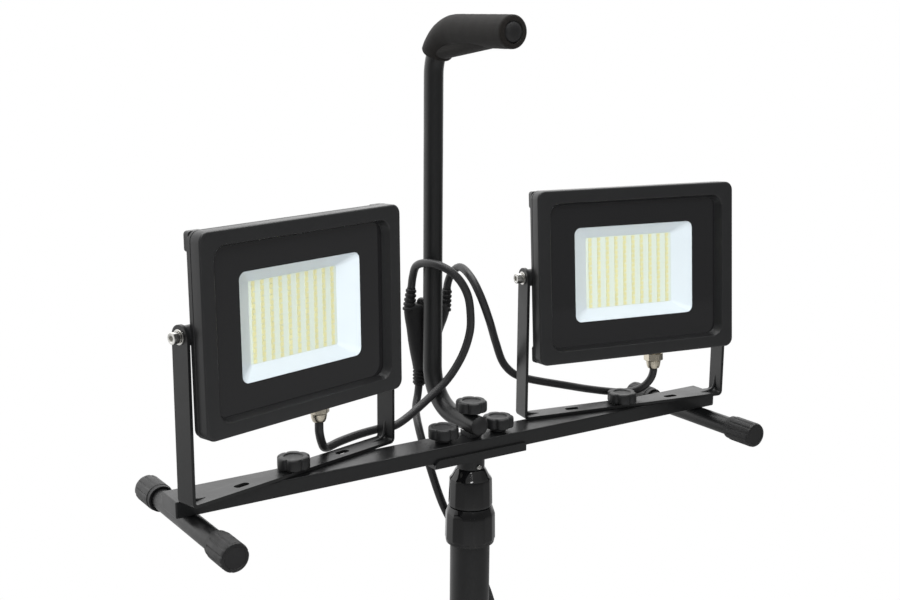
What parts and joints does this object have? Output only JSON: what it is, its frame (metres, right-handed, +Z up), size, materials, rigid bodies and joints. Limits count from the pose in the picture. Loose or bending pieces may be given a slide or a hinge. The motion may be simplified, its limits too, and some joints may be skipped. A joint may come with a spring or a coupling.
{
  "type": "twin-head tripod work light",
  "caption": "Twin LED floodlight head on a crossbar with a foam-gripped carry handle, standing on a telescopic tripod, with its cable coiled on the floor.",
  "frame": {"origin": "floor point under the middle of the stand's and the head's bounding box, without the cable", "axes": "+Z up along the mast, the lamps face -Y, +X towards the lamp on the viewer's right"},
  "size_m": [0.7096, 0.7066, 1.2134],
  "materials": {
    "black_paint": "satin black powder coat",
    "black_plastic": "matte black moulded plastic",
    "gloss_black": "high-gloss black plastic",
    "foam_grip": "matte porous foam",
    "cord_rubber": "smooth black cable jacket",
    "foot_rubber": "matte black rubber",
    "lamp_casting": "satin black coating on a die casting",
    "bolt_steel": "bright nickel-plated steel",
    "gland_nickel": "satin nickel plating on brass",
    "printed_glass": "clear window in a glossy black print",
    "white_reflector": "satin white",
    "led_board": "pale solder mask with yellow emitters"
  },
  "bodies": {
    "base": {"mast_outer_tube": "black_paint", "mast_bottom_plug": "black_plastic", "leg_hub": "black_plastic", "cord_coil": "cord_rubber", "mains_plug": "black_plastic", "main_cord": "cord_rubber"},
    "lower_collar": {"lower_twist_collar": "gloss_black"},
    "middle_mast": {"mast_middle_tube": "black_paint"},
    "upper_collar": {"upper_twist_collar": "gloss_black"},
    "inner_mast": {"mast_inner_tube": "black_paint"},
    "head": {"mast_saddle": "black_paint", "head_screw": "bolt_steel", "crossbar": "black_paint", "foot_tube_left": "black_paint", "foot_tube_right": "black_paint", "foot_cap_left_front": "black_plastic", "foot_cap_left_rear": "black_plastic", "foot_cap_right_front": "black_plastic", "foot_cap_right_rear": "black_plastic", "handle_tube": "black_paint", "handle_grip": "foam_grip", "handle_plug_low": "black_plastic", "handle_plug_high": "black_plastic", "handle_cradle": "black_plastic", "cable_splitter": "black_plastic", "lead_left": "cord_rubber", "lead_right": "cord_rubber"},
    "bar_knob_left": {"bar_knob_left": "black_plastic"},
    "bar_knob_right": {"bar_knob_right": "black_plastic"},
    "handle_knob": {"handle_knob": "black_plastic"},
    "leg_1": {"leg_tube_1": "black_paint", "leg_knuckle_1": "black_plastic", "leg_foot_1": "foot_rubber"},
    "leg_2": {"leg_tube_2": "black_paint", "leg_knuckle_2": "black_plastic", "leg_foot_2": "foot_rubber"},
    "leg_3": {"leg_tube_3": "black_paint", "leg_knuckle_3": "black_plastic", "leg_foot_3": "foot_rubber"},
    "bracket_knob_left": {"bracket_knob_left": "black_plastic"},
    "bracket_left": {"bracket_left": "black_paint"},
    "lamp_left": {"rear_housing_left": "lamp_casting", "front_bezel_left": "lamp_casting", "glass_left": "printed_glass", "reflector_left": "white_reflector", "led_board_left": "led_board", "gland_left": "gland_nickel", "pivot_bolt_left_left": "bolt_steel", "pivot_bolt_left_right": "bolt_steel"},
    "bracket_knob_right": {"bracket_knob_right": "black_plastic"},
    "bracket_right": {"bracket_right": "black_paint"},
    "lamp_right": {"rear_housing_right": "lamp_casting", "front_bezel_right": "lamp_casting", "glass_right": "printed_glass", "reflector_right": "white_reflector", "led_board_right": "led_board", "gland_right": "gland_nickel", "pivot_bolt_right_left": "bolt_steel", "pivot_bolt_right_right": "bolt_steel"}
  },
  "joints": [
    {"name": "leg_fold_1", "type": "hinge", "parent": "base", "child": "leg_1", "pos_m": [0, 0.0587, 0.5], "axis": [1, 0, 0], "range_deg": [0, 33]},
    {"name": "leg_fold_2", "type": "hinge", "parent": "base", "child": "leg_2", "pos_m": [0.03464, 0.1187, 0.5], "axis": [-0.5, 0.866, 0], "range_deg": [0, 33]},
    {"name": "leg_fold_3", "type": "hinge", "parent": "base", "child": "leg_3", "pos_m": [-0.03464, 0.1187, 0.5], "axis": [-0.5, -0.866, 0], "range_deg": [0, 33]},
    {"name": "lower_collar_twist", "type": "hinge", "parent": "base", "child": "lower_collar", "pos_m": [0, 0.0987, 0.726], "axis": [0, 0, 1], "range_deg": [0, 90]},
    {"name": "middle_slide", "type": "slide", "parent": "base", "child": "middle_mast", "axis": [0, 0, 1], "range_m": [0, 0.33]},
    {"name": "upper_collar_twist", "type": "hinge", "parent": "middle_mast", "child": "upper_collar", "pos_m": [0, 0.0987, 0.764], "axis": [0, 0, 1], "range_deg": [0, 90]},
    {"name": "inner_slide", "type": "slide", "parent": "middle_mast", "child": "inner_mast", "axis": [0, 0, 1], "range_m": [0, 0.3], "deforming": ["main_cord"]},
    {"name": "head_swivel", "type": "hinge", "parent": "inner_mast", "child": "head", "pos_m": [0, 0.0987, 0.79], "axis": [0, 0, 1], "range_deg": [-90, 90]},
    {"name": "bar_knob_left_turn", "type": "hinge", "parent": "head", "child": "bar_knob_left", "pos_m": [-0.032, 0.0987, 0.82], "axis": [0, 0, 1], "range_deg": [0, 360]},
    {"name": "bar_knob_right_turn", "type": "hinge", "parent": "head", "child": "bar_knob_right", "pos_m": [0.032, 0.0987, 0.82], "axis": [0, 0, 1], "range_deg": [0, 360]},
    {"name": "handle_knob_turn", "type": "hinge", "parent": "head", "child": "handle_knob", "pos_m": [0, 0.0987, 0.84], "axis": [0, 0, 1], "range_deg": [0, 360]},
    {"name": "bracket_knob_left_turn", "type": "hinge", "parent": "head", "child": "bracket_knob_left", "pos_m": [-0.191, 0.0987, 0.82], "axis": [0, 0, 1], "range_deg": [0, 360]},
    {"name": "bracket_swivel_left", "type": "hinge", "parent": "head", "child": "bracket_left", "pos_m": [-0.191, 0.0987, 0.815], "axis": [0, 0, 1], "range_deg": [-75, 75]},
    {"name": "lamp_tilt_left", "type": "hinge", "parent": "bracket_left", "child": "lamp_left", "pos_m": [-0.191, 0.0987, 0.9592], "axis": [0.9664, 0.2571, 0], "range_deg": [-90, 90], "deforming": ["lead_left"]},
    {"name": "bracket_knob_right_turn", "type": "hinge", "parent": "head", "child": "bracket_knob_right", "pos_m": [0.191, 0.0987, 0.82], "axis": [0, 0, 1], "range_deg": [0, 360]},
    {"name": "bracket_swivel_right", "type": "hinge", "parent": "head", "child": "bracket_right", "pos_m": [0.191, 0.0987, 0.815], "axis": [0, 0, 1], "range_deg": [-75, 75]},
    {"name": "lamp_tilt_right", "type": "hinge", "parent": "bracket_right", "child": "lamp_right", "pos_m": [0.191, 0.0987, 0.9592], "axis": [0.9859, -0.1676, 0], "range_deg": [-90, 90], "deforming": ["lead_right"]}
  ]
}
